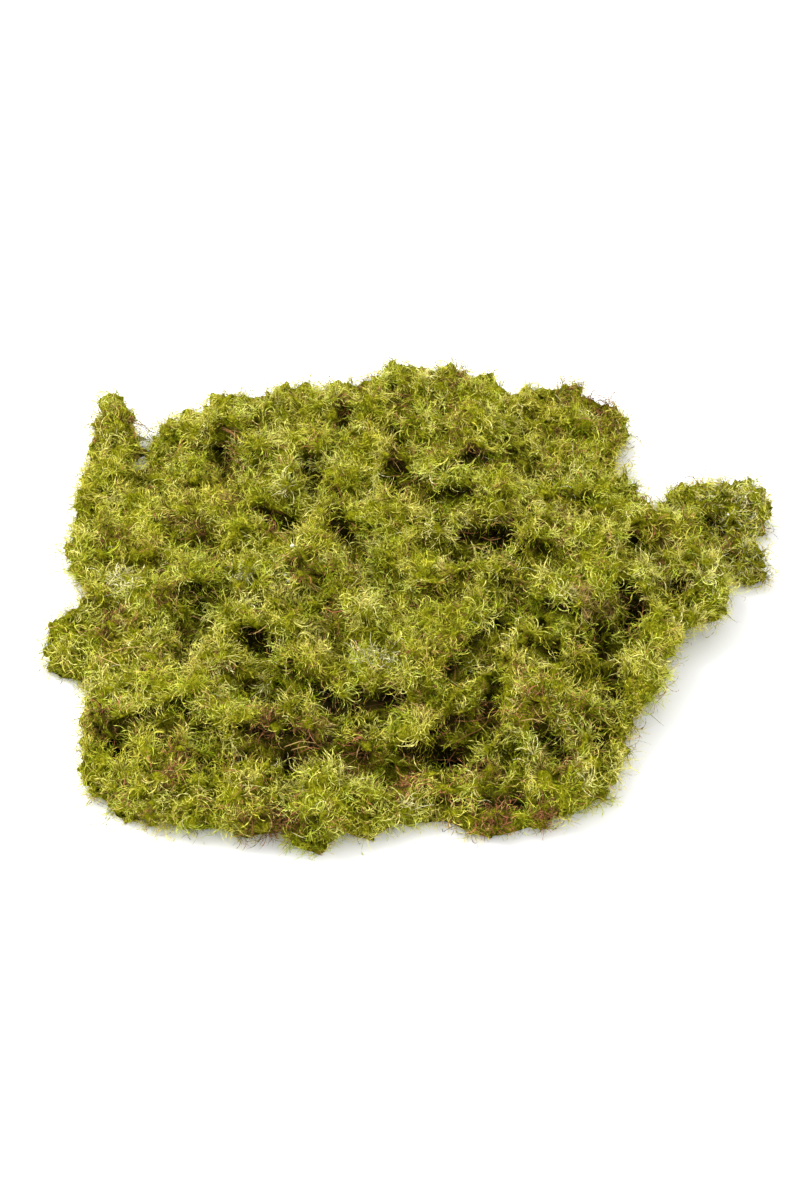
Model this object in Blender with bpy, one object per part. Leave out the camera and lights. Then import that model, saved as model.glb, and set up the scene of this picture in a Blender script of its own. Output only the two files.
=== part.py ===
"""A moss clump: one torn, crumpled mat of green moss that lies on its flat underside.

Metres, +Z up. The origin is on the underside, at the middle of the mat's length and width.
+X runs along the longer side, and -Y is the front edge.
"""
import bmesh
import bpy
import numpy as np
from mathutils import Matrix, Vector

# Driving sizes, in millimetres
RIM_HEIGHT = 22.0          # the cushions' tops, along the torn edge
INNER_RISE = 6.0           # how much higher the mat stands away from its edge
INNER_REACH = 45.0         # how far from the edge the mat has risen
CUSHION_RISE = 15.0        # the cushions' tops, above the felted bed between them
CUSHION_FLATNESS = 1.0     # a cushion's height over its width
BED_INSET = 10.0           # the bed ends this far inside the edge, under the rim's cushions
RIM_SPACING = 16.0         # from one cushion of the torn rim to the next
LOW_WIDTHS = (12.0, 16.0)  # the least and the greatest width in the rim's lower row
LOW_INSET = 0.5            # the lower row lies this far inside the edge, and its crumbs reach it
LOW_LIFT = (-3.5, -0.5)    # how far above the floor the lower row lies
HIGH_WIDTHS = (16.0, 21.0)
HIGH_INSET = 1.5
HIGH_DROP = (0.0, 3.5)     # how far the upper row is below the mat's top
NARROWEST = 9.0            # no cushion is narrower, in the thin lobes too
CRUMBS = 7                 # small lumps on each cushion
CRUMB_WIDTHS = (7.0, 11.0)
CRUMB_PROUD = 2.2          # how far a small lump stands out of its cushion
TOP_JITTER = 1.5           # a cushion stands this much higher or lower than the mat's own height

# Fineness, in millimetres
VOXEL = 2.0
BED_CELL = 3.0
BELOW_FLOOR = 8.0          # the forms reach below the floor before the underside is cut flat
SHORTEST_EDGE = 0.05
TRIANGLES = 9300

MM = 0.001
SEED = 11

# The torn edge seen from above, from the tip of the finger at the back left round by the back,
# the right, the front and the left
EDGE = (
    (-124, 117), (-118, 111), (-113, 102), (-108, 90), (-105, 105), (-94, 110), (-88, 112),
    (-82, 118), (-68, 115), (-64, 124), (-53, 129), (-42, 124), (-33, 127), (-21, 127), (-15, 134),
    (0, 135), (14, 130), (32, 127), (43, 122), (52, 123), (62, 124), (69, 117), (82, 111),
    (83, 98), (80, 76), (84, 57), (92, 50), (107, 63), (120, 66), (133, 64), (138, 53), (139, 45),
    (127, 40), (133, 15), (116, 16), (112, -2), (107, -6), (101, -3), (101, -14), (98, -19), (94, -35),
    (87, -49), (82, -56), (77, -69), (74, -80), (69, -95), (60, -104), (47, -112),
    (33, -115), (24, -117), (16, -114), (8, -109), (-6, -111), (-11, -117), (-25, -119),
    (-37, -125), (-46, -118), (-55, -119), (-71, -114), (-84, -114), (-92, -107),
    (-103, -108), (-111, -99), (-117, -95), (-120, -84), (-119, -76), (-121, -66),
    (-120, -39), (-128, -39), (-136, -34), (-139, -25), (-138, -16), (-130, -7),
    (-123, 3), (-128, 9), (-134, 18), (-133, 32), (-136, 52), (-133, 72), (-132, 97), (-128, 112),
)

# Swells and hollows of the whole mat: x, y, reach, height
SWELLS = (
    (62, 12, 52, 10),      # the heap right of the middle
    (48, -48, 34, 4),      # its shoulder at the front
    (5, 110, 50, 5),       # the back edge
    (-131, -30, 22, -7),   # the lobe on the left
    (-112, -88, 26, -4),   # the front left corner
    (132, 35, 26, -6),     # the lobed flap on the right
    (80, 100, 16, -4),     # the thin lobe at the back right
    (-4, -94, 22, -9),     # the hollow behind the front edge
    (-108, 76, 14, -10),   # the thin net beside the finger
    (30, -104, 18, -5),    # the front, where a lower layer comes out
)

# The cushions on top, by region: x, y, width
CUSHIONS = {
    "finger": (
        (-122, 104, 15), (-120, 89, 17), (-121, 71, 18), (-123, 51, 21), (-121, 33, 20),
    ),
    "left": (
        (-119, 13, 22), (-107, 41, 22), (-101, 17, 24), (-116, -6, 19), (-102, -8, 20),
        (-127, -18, 19), (-124, -30, 18), (-112, -27, 22), (-109, -54, 24), (-109, -74, 22),
        (-110, -88, 20), (-94, -58, 26), (-97, -36, 26), (-82, -2, 24), (-80, -66, 26),
        (-92, -14, 20), (-96, 32, 20), (-113, 22, 18),
    ),
    "back": (
        (-99, 74, 20), (-97, 88, 18), (-78, 94, 22), (-60, 104, 22), (-36, 102, 26),
        (-13, 112, 24), (2, 112, 24), (22, 107, 24), (40, 98, 22), (54, 104, 22),
        (58, 90, 20), (72, 86, 18), (78, 104, 16), (-18, 96, 18),
    ),
    "behind the middle": (
        (-86, 62, 24), (-83, 37, 26), (-66, 24, 24), (-64, 50, 24), (-47, 54, 24),
        (-44, 76, 26), (-26, 56, 24), (-14, 32, 26), (-40, 14, 28), (-22, 78, 22),
        (4, 84, 26), (24, 88, 22), (8, 54, 26), (-8, 66, 20), (30, 42, 30), (42, 68, 22),
        (57, 66, 24), (42, 14, 28), (66, 10, 26), (70, 42, 26), (84, 28, 24), (53, 36, 22),
        (-30, 36, 22), (8, 26, 22), (-62, 74, 22), (22, 66, 18),
    ),
    "right": (
        (52, -18, 28), (82, -10, 24), (68, -8, 22), (98, 26, 24), (117, 50, 22),
        (127, 54, 19), (121, 24, 18), (105, 6, 24), (108, -8, 18), (98, -12, 20), (103, 44, 20),
    ),
    "middle": (
        (6, -6, 28), (-8, 8, 22), (-62, 0, 24), (-34, -4, 26), (8, -27, 24), (24, -26, 22),
        (-8, -36, 24), (14, -42, 22), (0, -52, 24), (-21, -54, 26), (-42, -50, 26),
        (-71, -46, 24), (-20, -24, 24), (-50, -22, 24), (-68, -24, 22), (26, -8, 20),
    ),
    "front of the middle": (
        (-64, -78, 24), (-44, -76, 24), (-24, -82, 24), (0, -78, 26), (14, -68, 20),
        (42, -66, 28), (62, -50, 24), (48, -46, 22), (36, -40, 20), (76, -50, 22),
        (69, -66, 18), (56, -74, 22), (28, -58, 22), (52, -31, 20), (80, -32, 24),
    ),
    "front": (
        (62, -87, 18), (24, -90, 22), (40, -90, 22), (8, -100, 16), (-17, -106, 18),
        (-32, -110, 20), (-54, -100, 24), (-68, -106, 20), (-88, -102, 22), (-99, -90, 22),
        (-79, -88, 20), (-31, -98, 20), (52, -98, 18), (-100, -74, 20),
    ),
}

# Creases and pits between the cushions: half the width, depth, and the points along each
CREASES = (
    (6, 12, ((-78, 83), (-80, 62), (-74, 54))),               # behind the finger
    (6.5, 13, ((-58, 34), (-47, 32))),
    (5, 11, ((-41, 52), (-42, 66))),
    (4, 10, ((-32, 46), (-28, 42))),
    (5, 11, ((-30, 26), (-22, 12), (-16, 0))),                # the diagonal behind the middle
    (5, 10, ((-28, 96), (-29, 84))),
    (5, 12, ((-8, 72), (-6, 82))),
    (5, 12, ((-8, 54), (0, 42), (3, 34), (18, 38))),
    (5, 11, ((16, 62), (30, 57))),
    (5, 9, ((34, 66), (38, 60))),
    (9, 21, ((20, 14), (33, 16))),                            # the deepest pit
    (4, 12, ((10, 9), (20, 10))),
    (4, 10, ((44, 17), (50, 15))),
    (6, 12, ((56, 32), (62, 30))),
    (5, 12, ((80, 10), (84, 16))),
    (5, 10, ((-45, -10), (-36, -8))),
    (6, 11, ((-34, -24), (-26, -32))),
    (5, 10, ((1, -16), (8, -18))),
    (5, 10, ((14, -12), (20, -10))),
    (5, 10, ((33, -14), (38, -26))),
    (6, 14, ((44, -33), (58, -42), (72, -42), (78, -28), (79, -20))),# under the fringe
    (6, 14, ((32, -38), (24, -50), (14, -62))),               # the long diagonal
    (5, 12, ((38, -52), (48, -50))),
    (6, 11, ((66, -52), (68, -66))),
    (4, 9, ((56, -58), (60, -58))),
    (4, 10, ((24, -66), (24, -76))),
    (5, 12, ((-38, -68), (-30, -80), (-12, -74))),
    (6, 12, ((-52, -62), (-44, -66))),
    (5, 11, ((-62, -54), (-50, -60))),
    (5, 10, ((-82, -14), (-76, -24))),
    (5, 10, ((-84, -36), (-78, -36))),
    (6.5, 13, ((-6, -94), (8, -88), (20, -82))),              # the hollow behind the front edge
    (5, 13, ((-46, -90), (-34, -90))),
    (5, 12, ((-28, -94), (-18, -96))),
    (5, 10, ((-62, -88), (-52, -92))),
    (4, 10, ((-46, -98), (-44, -104))),
    (4, 9, ((-103, -78), (-80, -72))),
    (5, 10, ((-78, -80), (-72, -86))),
    (4, 9, ((-76, -94), (-70, -96))),
    (4, 9, ((-106, -82), (-102, -92))),
    (5, 10, ((44, -84), (50, -92))),
    (4, 9, ((30, -84), (30, -94))),
    (5, 10, ((66, -76), (64, -84))),
    (5, 10, ((106, 22), (112, 34))),                          # between the flap and the body
    (5, 9, ((90, -14), (100, -2))),
    (4, 9, ((116, 28), (122, 33))),
)
CREASE_FLOOR = 4.0         # no crease reaches lower than this
CREASE_STEEPNESS = 2.0     # 1 for sides that slope all the way to the middle


def smooth_step(t):
    """0 to 1, level at both ends."""
    t = np.clip(t, 0.0, 1.0)
    return t * t * (3.0 - 2.0 * t)


def distance_to_path(x, y, points):
    """The least distance from each point to a line through a list of points, seen from above."""
    nearest = np.full(np.shape(x), np.inf)
    for (ax, ay), (bx, by) in zip(points, points[1:]):
        run_x, run_y = bx - ax, by - ay
        along = ((x - ax) * run_x + (y - ay) * run_y) / (run_x ** 2 + run_y ** 2)
        along = np.clip(along, 0.0, 1.0)
        nearest = np.minimum(nearest, np.hypot(x - ax - along * run_x, y - ay - along * run_y))
    return nearest


def depth_inside(x, y):
    """How far each point is inside the torn edge, less than 0 outside it."""
    loop = EDGE + EDGE[:1]
    inside = np.zeros(np.shape(x), dtype=bool)
    for (ax, ay), (bx, by) in zip(loop, loop[1:]):
        if ay != by:
            crossing = ax + (y - ay) * (bx - ax) / (by - ay)
            inside ^= (np.greater(ay, y) != np.greater(by, y)) & (x < crossing)
    distance = distance_to_path(x, y, loop)
    return np.where(inside, distance, -distance)


def mat_height(x, y):
    """The height of the cushions' tops at each point."""
    height = RIM_HEIGHT + INNER_RISE * smooth_step(depth_inside(x, y) / INNER_REACH)
    for swell_x, swell_y, reach, rise in SWELLS:
        height = height + rise * np.exp(-((x - swell_x) ** 2 + (y - swell_y) ** 2) / reach ** 2)
    return height


def points_of(mesh):
    """The mesh's points as rows of x, y and z."""
    flat = np.empty(len(mesh.vertices) * 3)
    mesh.vertices.foreach_get("co", flat)
    return flat.reshape(-1, 3)


def clear_scene():
    for obj in list(bpy.data.objects):
        bpy.data.objects.remove(obj, do_unlink=True)


def add_bed(bm):
    """The felted bed: a sheet at the bed's height inside the edge, with walls and a bottom."""
    xs, ys = zip(*EDGE)
    size_x, size_y = max(xs) - min(xs), max(ys) - min(ys)
    middle = Vector(((max(xs) + min(xs)) / 2, (max(ys) + min(ys)) / 2, 0.0))
    sheet = bmesh.ops.create_grid(
        bm, x_segments=round(size_x / BED_CELL), y_segments=round(size_y / BED_CELL), size=0.5,
        matrix=Matrix.Translation(middle) @ Matrix.Diagonal((size_x, size_y, 1.0, 1.0)))["verts"]
    x, y = np.array([vert.co.xy for vert in sheet]).T
    bed = np.where(depth_inside(x, y) > BED_INSET, mat_height(x, y) - CUSHION_RISE, -BELOW_FLOOR / 2)
    for vert, height in zip(sheet, bed):
        vert.co.z = height
    rim = [edge for edge in bm.edges if edge.is_boundary]
    for item in bmesh.ops.extrude_edge_only(bm, edges=rim)["geom"]:
        if isinstance(item, bmesh.types.BMVert):
            item.co.z = -BELOW_FLOOR
    bmesh.ops.holes_fill(bm, edges=[edge for edge in bm.edges if edge.is_boundary])


def crumbs_of(rng, centre, width):
    """The small lumps that stand out of a cushion: rows of centre and width."""
    turn = rng.uniform(0.0, 2.0 * np.pi, CRUMBS)
    rise = rng.uniform(-0.1, 1.0, CRUMBS)
    level = np.sqrt(1.0 - rise ** 2)
    out = np.column_stack((level * np.cos(turn), level * np.sin(turn), rise * CUSHION_FLATNESS))
    widths = rng.uniform(*CRUMB_WIDTHS, CRUMBS)
    reach = width / 2 + CRUMB_PROUD - widths / 2
    return [(*(centre + way * far), size) for way, far, size in zip(out, reach, widths)]


def top_cushions(rng):
    """The cushions on top of the mat: rows of centre and width."""
    for region in CUSHIONS.values():
        for x, y, width in region:
            top = float(mat_height(x, y)) + rng.uniform(-TOP_JITTER, TOP_JITTER)
            yield x, y, top - CRUMB_PROUD - width * CUSHION_FLATNESS / 2, width


def along_edge(rng, widths, inset, offset):
    """Places for a row of cushions just inside the torn edge: rows of x, y and width."""
    loop = np.array(EDGE + EDGE[:1], dtype=float)
    runs = np.diff(loop, axis=0)
    lengths = np.hypot(*runs.T)
    ends = np.concatenate(((0.0,), np.cumsum(lengths)))
    for place in np.arange(offset, ends[-1], RIM_SPACING):
        run = np.searchsorted(ends, place, side="right") - 1
        way = runs[run] / lengths[run]
        spot = loop[run] + way * (place - ends[run])
        inward = np.array((way[1], -way[0]))
        width = rng.uniform(*widths)
        room = float(depth_inside(*(spot + inward * (width / 2 + inset))))
        width = max(min(width, 2.0 * room), NARROWEST)
        yield *(spot + inward * (width / 2 + inset)), width


def rim_cushions(rng):
    """Two rows of cushions round the torn rim: one meets the floor, one rolls over from the top."""
    for x, y, width in along_edge(rng, LOW_WIDTHS, LOW_INSET, 0.0):
        yield x, y, width * CUSHION_FLATNESS / 2 + rng.uniform(*LOW_LIFT), width
    for x, y, width in along_edge(rng, HIGH_WIDTHS, HIGH_INSET, RIM_SPACING / 2):
        top = float(mat_height(x, y)) - rng.uniform(*HIGH_DROP)
        yield x, y, top - CRUMB_PROUD - width * CUSHION_FLATNESS / 2, width


def add_lumps(bm, lumps, flatness, rounds):
    """Egg-shaped lumps, from rows of centre and width."""
    ball = bmesh.new()
    bmesh.ops.create_icosphere(ball, subdivisions=rounds, radius=0.5)
    points = np.array([vert.co for vert in ball.verts]) * (1.0, 1.0, flatness)
    faces = np.array([[vert.index for vert in face.verts] for face in ball.faces])
    ball.free()
    lumps = np.array(lumps)
    all_points = points[None] * lumps[:, None, 3:] + lumps[:, None, :3]
    all_faces = faces[None] + np.arange(len(lumps))[:, None, None] * len(points)
    mesh = bpy.data.meshes.new("lumps")
    mesh.from_pydata(all_points.reshape(-1, 3).tolist(), [], all_faces.reshape(-1, 3).tolist())
    bm.from_mesh(mesh)
    bpy.data.meshes.remove(mesh)


def press_creases(mesh):
    """Pushes the surface down along the creases."""
    points = points_of(mesh)
    x, y, z = points.T
    drop = np.zeros(len(points))
    for half_width, depth, path in CREASES:
        near = 1.0 - distance_to_path(x, y, path) / half_width
        drop = np.maximum(drop, depth * smooth_step(CREASE_STEEPNESS * near))
    points[:, 2] = np.where(z > CREASE_FLOOR, np.maximum(z - drop, CREASE_FLOOR), z)
    mesh.vertices.foreach_set("co", points.ravel())


def keep_largest_shell(bm):
    """Deletes loose bits and closed pockets, so that one body is left."""
    bm.verts.ensure_lookup_table()
    unseen = set(bm.verts)
    shells = []
    while unseen:
        reached = {unseen.pop()}
        front = list(reached)
        while front:
            for edge in front.pop().link_edges:
                for vert in edge.verts:
                    if vert not in reached:
                        reached.add(vert)
                        front.append(vert)
        unseen -= reached
        shells.append(reached)
    largest = max(shells, key=len)
    loose = [vert for vert in bm.verts if vert not in largest]
    bmesh.ops.delete(bm, geom=loose, context="VERTS")


def with_modifier(mesh, kind, **values):
    """A new mesh, the given one with one modifier applied."""
    obj = bpy.data.objects.new("shaping", mesh)
    bpy.context.collection.objects.link(obj)
    modifier = obj.modifiers.new(kind, kind)
    for name, value in values.items():
        setattr(modifier, name, value)
    shaped = bpy.data.meshes.new_from_object(obj.evaluated_get(bpy.context.evaluated_depsgraph_get()))
    bpy.data.objects.remove(obj, do_unlink=True)
    bpy.data.meshes.remove(mesh)
    return shaped


def edit(mesh, change):
    """Runs a change on the mesh's bmesh."""
    bm = bmesh.new()
    bm.from_mesh(mesh)
    change(bm)
    bm.to_mesh(mesh)
    bm.free()
    return mesh


def cut_flat(bm):
    """Cuts everything below the floor away and closes the cut with one flat face."""
    everything = bm.verts[:] + bm.edges[:] + bm.faces[:]
    cut = bmesh.ops.bisect_plane(
        bm, geom=everything, dist=SHORTEST_EDGE, plane_co=(0.0, 0.0, 0.0),
        plane_no=(0.0, 0.0, 1.0), clear_inner=True)
    edges = [item for item in cut["geom_cut"] if isinstance(item, bmesh.types.BMEdge)]
    bmesh.ops.holes_fill(bm, edges=edges)
    bmesh.ops.triangulate(bm, faces=bm.faces[:])


def shape_mat():
    """The whole mat as one closed mesh, in millimetres."""
    rng = np.random.default_rng(SEED)
    cushions = [*top_cushions(rng), *rim_cushions(rng)]
    crumbs = [crumb for x, y, z, width in cushions for crumb in crumbs_of(rng, (x, y, z), width)]
    bm = bmesh.new()
    add_bed(bm)
    add_lumps(bm, cushions, CUSHION_FLATNESS, rounds=3)
    add_lumps(bm, crumbs, 1.0, rounds=2)
    mesh = bpy.data.meshes.new("forms")
    bm.to_mesh(mesh)
    bm.free()
    mesh = with_modifier(mesh, "REMESH", mode="VOXEL", voxel_size=VOXEL)
    press_creases(mesh)
    mesh = with_modifier(mesh, "REMESH", mode="VOXEL", voxel_size=VOXEL)
    edit(mesh, keep_largest_shell)
    mesh = with_modifier(mesh, "SMOOTH", factor=0.5, iterations=1)
    mesh = with_modifier(mesh, "TRIANGULATE")
    mesh = with_modifier(mesh, "DECIMATE", ratio=TRIANGLES / len(mesh.polygons))
    edit(mesh, cut_flat)
    edit(mesh, keep_largest_shell)
    return mesh


def moss_material():
    """Matt yellow-green moss."""
    material = bpy.data.materials.new("moss_green")
    material.use_nodes = True
    shader = material.node_tree.nodes["Principled BSDF"]
    shader.inputs["Base Color"].default_value = (0.22, 0.22, 0.024, 1.0)
    shader.inputs["Roughness"].default_value = 0.95
    shader.inputs["Metallic"].default_value = 0.0
    material.diffuse_color = (0.22, 0.22, 0.024, 1.0)
    return material


def make_moss_mat():
    """The mat in metres, with the origin under the middle of its length and width."""
    mesh = shape_mat()
    points = points_of(mesh)
    middle = Vector((points.min(axis=0) + points.max(axis=0)) / 2)
    middle.z = 0.0
    mesh.transform(Matrix.Scale(MM, 4) @ Matrix.Translation(-middle))
    mesh.materials.append(moss_material())
    mesh.shade_flat()
    mat = bpy.data.objects.new("moss_mat", mesh)
    mesh.name = "moss_mat"
    bpy.context.collection.objects.link(mat)
    return mat


clear_scene()
make_moss_mat()
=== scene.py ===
"""Looks for the moss clump: fine curly leaves, dead stems, straws and grains on a felted bed, dark partly of
its own and partly with painted shade.

Lengths are in millimetres until a mesh is made. Places on the photograph are pixels of its 798 x 1200 frame,
and each one is found on the clump's own surface by a ray from the camera.
"""
import math

import bmesh
import bpy
import numpy as np
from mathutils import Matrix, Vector, kdtree
from mathutils.bvhtree import BVHTree


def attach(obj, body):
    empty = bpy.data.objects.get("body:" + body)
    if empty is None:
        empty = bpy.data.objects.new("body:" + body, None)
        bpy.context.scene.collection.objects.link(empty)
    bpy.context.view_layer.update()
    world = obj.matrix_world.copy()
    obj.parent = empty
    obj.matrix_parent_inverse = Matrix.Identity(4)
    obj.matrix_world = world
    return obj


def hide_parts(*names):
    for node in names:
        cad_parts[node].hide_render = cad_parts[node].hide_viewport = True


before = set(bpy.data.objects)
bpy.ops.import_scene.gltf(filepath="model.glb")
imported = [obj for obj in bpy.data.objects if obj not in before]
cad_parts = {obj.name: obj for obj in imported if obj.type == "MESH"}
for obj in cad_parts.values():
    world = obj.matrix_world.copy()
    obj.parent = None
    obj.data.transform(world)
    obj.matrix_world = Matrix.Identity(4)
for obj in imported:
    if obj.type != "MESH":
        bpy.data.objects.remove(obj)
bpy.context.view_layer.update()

MM = 0.001
SEED = 7
rng = np.random.default_rng(SEED)

# The camera, as the photograph was taken
PHOTO = (798, 1200)
CAMERA_LENS = 75.0
CAMERA_SENSOR = 36.0
CAMERA_DISTANCE = 952.0
CAMERA_HEIGHT = math.radians(42)
CAMERA_TARGET = (-7.6, 1.9, 0.0)

# Leaves
TUFT_SPACING = 2.0
LEAVES_PER_TUFT = 9.6
LEAF_LENGTH = (5.0, 10.5)
LEAF_WIDTH = (0.095, 0.17)
LEAF_TRIANGLES = 5
LYING_SHARE = 0.7          # leaves that lie along the lump, in locks; the others stand up
LOCK_SPREAD = 0.55
ROOT_DEPTH = 1.2
TUFT_TRIES = 110000        # places tried, of which those far enough apart are kept
PIECE_TRIANGLES = 190000   # the most that one piece of leaves may have

# Dead stems
STEM_SHARE = 0.5
STEM_LENGTH = (5.0, 14.0)
STEM_WIDTH = (0.12, 0.22)
STEM_TRIANGLES = 12
STEM_TRIES = 40000

# Long strands that lie loose on the lumps
STRANDS = 6500
STRAND_LENGTH = (8.0, 15.0)
STRAND_WIDTH = (0.11, 0.18)
STRAND_TRIANGLES = 9

# The small domes that the leaves gather in, with gaps between them that are pressed in and darkened with
# painted shade
CLUMP_SPACING = 5.6
CLUMP_SHARE = 0.75
CLUMP_WARP = 1.1
CLUMP_TRIES = 20000
DOME_HEIGHT = 2.3
GAP_WIDTH = 1.8
GAP_DEPTH = 3.0
PIT_DEPTH = 3.5
RELIEF_PARTS = 4           # cuts along each edge of the CAD mesh
BED_DEPTH = 1.0            # from the relief that the leaves grow on down to the felt
BED_HEIGHT = 0.3           # the lowest the felt comes to the floor
LEAF_HEIGHT = 0.2          # the lowest a leaf comes to the floor

# How the leaves' tones vary: a middle value, and what the dark places add or take; the light lost and the
# green added there are painted shade
LIGHT, LIGHT_LOST_IN_PAINTED_SHADE = 0.82, 0.78
GREEN_SHARE, GREEN_ADDED_IN_PAINTED_SHADE = 0.30, 0.5
# the dead leaves added in the dark places are partly the moss's own dead growth and partly painted shade
DEAD_SHARE, DEAD_ADDED_IN_DARK = 0.02, 0.05
FLOW_WAVELENGTH = 13

# The light of the studio, in metres and watts
WORLD_STRENGTH = 1.48
KEY_SIZE = 0.7
KEY_POWER = 15.0
KEY_PLACE = (-0.65, 0.35, 0.95)
FLOOR_SIZE = 6.0

# Tones: places along the palette from 0 to 1, first dead, then live yellow-greens, then live greens
DARK_STEM, BROWN, RED, STRAW = 0.03, 0.10, 0.17, 0.24
DEEP_OLIVE, OLIVE, BRIGHT, DUSTY = 0.32, 0.43, 0.64, 0.72
DEEP_GREEN, PALE_GREEN = 0.78, 0.98

# The palette: tone, colour at a leaf's foot, colour at its tip; the darker foot is partly the leaf's own
# colour and partly painted shade deep among the leaves
PALETTE = [
    (DARK_STEM, (18, 11, 4), (58, 40, 20)),
    (BROWN, (56, 37, 18), (148, 108, 64)),
    (RED, (72, 36, 22), (178, 108, 76)),
    (STRAW, (92, 72, 30), (206, 174, 108)),
    (DEEP_OLIVE, (20, 26, 0), (84, 90, 0)),
    (OLIVE, (74, 70, 0), (180, 174, 30)),
    (0.54, (112, 106, 4), (218, 209, 80)),
    (BRIGHT, (138, 132, 28), (236, 228, 138)),
    (DUSTY, (108, 106, 60), (236, 228, 180)),
    (DEEP_GREEN, (12, 26, 0), (58, 84, 0)),
    (0.85, (50, 64, 0), (148, 168, 16)),
    (0.92, (96, 104, 2), (196, 206, 58)),
    (PALE_GREEN, (122, 126, 26), (222, 227, 118)),
]

DIM_SHARE = 0.3            # leaves in a brown or red patch that are darker than the rest of it

# Patches of another colour: pixel, radius, tone, share of the leaves that take it
PATCHES = [
    ((258, 828), 7, BROWN, 1), ((278, 823), 6, BROWN, 1), ((296, 822), 5, RED, 0.9),
    ((404, 791), 5, RED, 1), ((490, 716), 6, RED, 1), ((490, 823), 7, RED, 1),
    ((547, 817), 6, RED, 1), ((490, 771), 4, BROWN, 0.92), ((100, 724), 5, BROWN, 1),
    ((121, 795), 4, RED, 0.69), ((163, 592), 6, BROWN, 0.8), ((175, 755), 4, BROWN, 0.92),
    ((168, 778), 4, BROWN, 0.92), ((268, 712), 4, BROWN, 1), ((110, 620), 7, BROWN, 0.69),
    ((115, 535), 6, BROWN, 0.69), ((588, 606), 7, STRAW, 0.92), ((610, 608), 5, STRAW, 0.8),
    ((640, 612), 4, STRAW, 1), ((655, 525), 4, RED, 0.57), ((735, 535), 5, BROWN, 0.92),
    ((530, 708), 6, RED, 0.69), ((695, 620), 5, BRIGHT, 0.35), ((710, 590), 5, BRIGHT, 0.25),
    ((375, 655), 8, DUSTY, 0.6), ((120, 580), 6, DUSTY, 0.6), ((243, 568), 5, DUSTY, 0.6),
    ((680, 590), 5, BROWN, 0.6), ((355, 755), 7, RED, 0.9), ((305, 743), 8, BROWN, 1),
    ((262, 738), 7, BROWN, 0.92), ((335, 610), 5, BROWN, 0.8), ((305, 565), 5, BROWN, 0.8),
    ((190, 632), 4, BROWN, 0.92), ((340, 412), 5, BROWN, 0.8), ((200, 532), 5, BROWN, 0.8),
    ((175, 520), 5, BROWN, 0.57), ((232, 470), 7, BROWN, 0.69), ((232, 505), 6, BROWN, 0.57),
    ((458, 430), 5, BROWN, 0.69), ((470, 450), 5, BROWN, 0.69), ((400, 450), 5, BROWN, 0.69),
    ((450, 378), 5, BROWN, 0.57), ((380, 372), 4, RED, 0.69), ((600, 405), 7, BROWN, 1),
    ((610, 430), 7, BROWN, 0.8), ((560, 398), 5, BROWN, 0.69), ((300, 525), 4, BROWN, 0.57),
    ((520, 510), 4, BROWN, 0.46), ((540, 470), 4, RED, 0.34), ((430, 640), 4, STRAW, 0.34),
    ((455, 570), 3, BROWN, 0.8), ((560, 578), 2, RED, 1), ((330, 670), 4, BROWN, 0.46),
    ((415, 700), 4, STRAW, 0.46), ((215, 700), 4, STRAW, 0.46), ((170, 655), 4, STRAW, 0.46),
    ((575, 705), 5, RED, 0.46), ((545, 690), 4, RED, 0.34), ((150, 815), 4, STRAW, 0.46),
    ((330, 820), 4, BROWN, 0.46), ((440, 790), 4, RED, 0.46), ((540, 770), 4, STRAW, 0.46),
    ((735, 500), 14, DUSTY, 0.3), ((742, 562), 10, DUSTY, 0.35), ((112, 425), 9, BROWN, 0.29),
    ((567, 767), 3, RED, 0.9), ((423, 713), 4, STRAW, 0.6), ((527, 716), 4, RED, 0.9),
    ((460, 727), 4, BROWN, 1.0), ((457, 760), 4, BROWN, 1.0), ((176, 758), 4, RED, 0.6),
    ((169, 776), 4, RED, 0.7), ((270, 717), 4, RED, 0.7), ((95, 726), 5, BROWN, 1.0),
    ((127, 726), 3, BROWN, 1.0), ((343, 752), 4, RED, 0.9), ((365, 764), 4, RED, 0.9),
]

# Thin stems that can be told apart: tone, path of pixels
TWIGS = [
    (STRAW, ((465, 548), (473, 546), (490, 549))), (STRAW, ((470, 543), (480, 547), (492, 544))),
    (BROWN, ((480, 536), (490, 539), (501, 537))), (BROWN, ((237, 612), (245, 615), (254, 612))),
    (DARK_STEM, ((112, 728), (132, 720), (155, 711), (176, 706), (200, 700))),
    (DARK_STEM, ((325, 709), (350, 708), (383, 703), (396, 697))),
    (STRAW, ((285, 744), (300, 739), (317, 742))), (STRAW, ((290, 749), (305, 744), (316, 748))),
    (RED, ((299, 752), (312, 745), (322, 748))), (RED, ((326, 608), (336, 613), (348, 610))),
    (STRAW, ((92, 668), (105, 658), (125, 650), (147, 648))), (STRAW, ((97, 655), (108, 660), (122, 668))),
    (BROWN, ((450, 745), (462, 736), (478, 728), (492, 720))), (BROWN, ((486, 712), (505, 710), (520, 716))),
    (BROWN, ((455, 720), (470, 722), (490, 715), (510, 712), (530, 716))),
    (DARK_STEM, ((505, 716), (520, 712), (538, 714))), (STRAW, ((520, 720), (532, 718), (540, 722))),
]

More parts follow.
